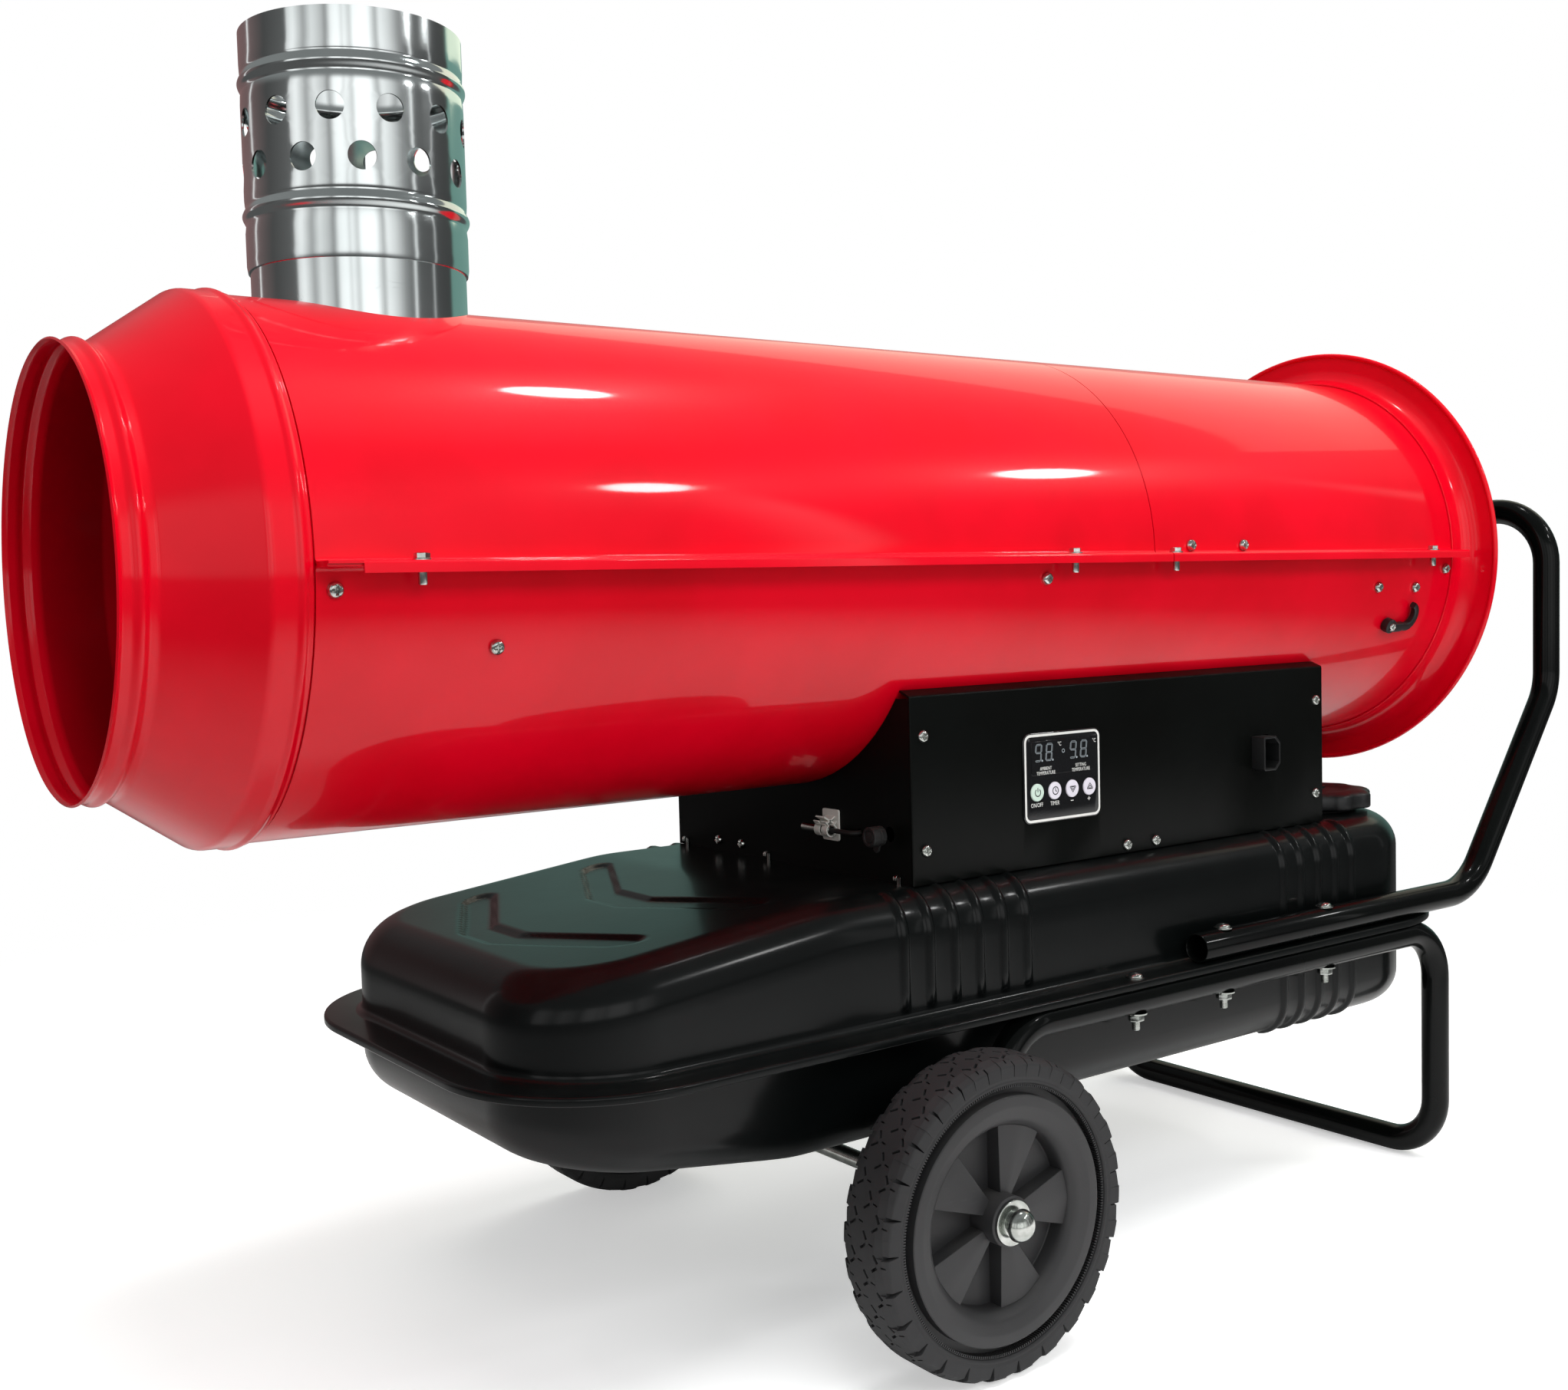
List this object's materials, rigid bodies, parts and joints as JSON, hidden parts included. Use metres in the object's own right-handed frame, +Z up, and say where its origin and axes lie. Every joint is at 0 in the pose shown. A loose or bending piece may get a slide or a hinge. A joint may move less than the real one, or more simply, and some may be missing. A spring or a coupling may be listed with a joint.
{
  "type": "indirect diesel heater",
  "caption": "Indirect diesel space heater: a red barrel with flue and air outlet above a black fuel tank, on a two-wheeled cart with a handle.",
  "frame": {"origin": "on the floor under the middle of the machine's length, in its middle plane", "axes": "+X to the rear, where the handle is; the air outlet faces -X; the control panel faces -Y; +Z up"},
  "size_m": [1.223, 0.5198, 0.835],
  "materials": {
    "red_paint": "gloss",
    "black_paint": "satin",
    "flue_steel": "bright rolled",
    "plain_steel": "satin",
    "heat_steel": "dull",
    "zinc": "zinc plated",
    "brass": "satin",
    "copper": "satin",
    "cast_metal": "cast",
    "black_plastic": "matte",
    "window": "gloss",
    "white_plastic": "satin",
    "green_plastic": "satin",
    "circuit_board": "satin",
    "black_rubber": "matte",
    "tyre": "matte",
    "wheel_plastic": "satin"
  },
  "bodies": {
    "base": {"outlet_cone": "red_paint", "upper_shell_front": "red_paint", "upper_shell_rear": "red_paint", "lower_shell": "red_paint", "inlet_bell": "red_paint", "fan_guard": "plain_steel", "flue_stub": "flue_steel", "draft_pipe": "flue_steel", "heat_exchanger": "heat_steel", "combustion_chamber": "heat_steel", "exchanger_feet": "plain_steel", "burner_tube": "plain_steel", "flame_disc": "plain_steel", "nozzle_holder": "brass", "ignition_electrodes": "zinc", "motor": "cast_metal", "motor_bracket": "plain_steel", "oil_pump": "cast_metal", "fuel_solenoid": "black_plastic", "fuel_pipe": "copper", "fuel_filter": "white_plastic", "fuel_hose": "black_rubber", "control_box": "black_paint", "side_panel": "black_paint", "control_board": "circuit_board", "ignition_transformer": "black_plastic", "display_panel": "black_plastic", "display_window": "window", "power_inlet": "black_plastic", "probe_clip": "white_plastic", "probe": "zinc", "probe_lead": "black_rubber", "probe_socket": "zinc", "tank_upper": "black_paint", "tank_lower": "black_paint", "filler_neck": "black_paint", "filler_strainer": "plain_steel", "drain_plug": "brass", "stand_frame": "black_paint", "handle": "black_paint", "axle": "zinc", "wheel_washers": "zinc", "axle_caps": "zinc", "cable_hook": "black_paint", "shell_fasteners": "zinc", "panel_screws": "zinc", "frame_bolts": "zinc"},
    "wheel_left": {"wheel_rim_left": "wheel_plastic", "tyre_left": "tyre"},
    "wheel_right": {"wheel_rim_right": "wheel_plastic", "tyre_right": "tyre"},
    "fan_rotor": {"fan": "cast_metal", "motor_shaft": "zinc"},
    "cap_seal": {"cap_gasket": "black_rubber"},
    "filler_cap": {"tank_cap": "black_plastic"},
    "power_key": {"key_power": "green_plastic"},
    "timer_key": {"key_timer": "white_plastic"},
    "down_key": {"key_down": "white_plastic"},
    "up_key": {"key_up": "white_plastic"},
    "dust_cap": {"socket_cap": "black_plastic"}
  },
  "joints": [
    {"name": "wheel_left_spin", "type": "hinge", "parent": "base", "child": "wheel_left", "pos_m": [-0.1275, -0.221, 0.1015], "axis": [0, 1, 0], "continuous": true},
    {"name": "wheel_right_spin", "type": "hinge", "parent": "base", "child": "wheel_right", "pos_m": [-0.1275, 0.221, 0.1015], "axis": [0, 1, 0], "continuous": true},
    {"name": "fan_spin", "type": "hinge", "parent": "base", "child": "fan_rotor", "pos_m": [0.3815, 0, 0.515], "axis": [1, 0, 0], "continuous": true},
    {"name": "cap_lift", "type": "slide", "parent": "base", "child": "cap_seal", "axis": [0, 0, 1], "range_m": [0, 0.036]},
    {"name": "cap_turn", "type": "hinge", "parent": "cap_seal", "child": "filler_cap", "pos_m": [0.3845, -0.084, 0.308], "axis": [0, 0, 1], "range_deg": [0, 360]},
    {"name": "power_key_press", "type": "slide", "parent": "base", "child": "power_key", "axis": [0, 1, 0], "range_m": [0, 0.0006], "stiffness_N_per_m": 600, "springref_m": -0.0004},
    {"name": "timer_key_press", "type": "slide", "parent": "base", "child": "timer_key", "axis": [0, 1, 0], "range_m": [0, 0.0006], "stiffness_N_per_m": 600, "springref_m": -0.0004},
    {"name": "down_key_press", "type": "slide", "parent": "base", "child": "down_key", "axis": [0, 1, 0], "range_m": [0, 0.0006], "stiffness_N_per_m": 600, "springref_m": -0.0004},
    {"name": "up_key_press", "type": "slide", "parent": "base", "child": "up_key", "axis": [0, 1, 0], "range_m": [0, 0.0006], "stiffness_N_per_m": 600, "springref_m": -0.0004},
    {"name": "dust_cap_pull", "type": "slide", "parent": "base", "child": "dust_cap", "axis": [-1, 0, 0], "range_m": [0, 0.02]}
  ]
}
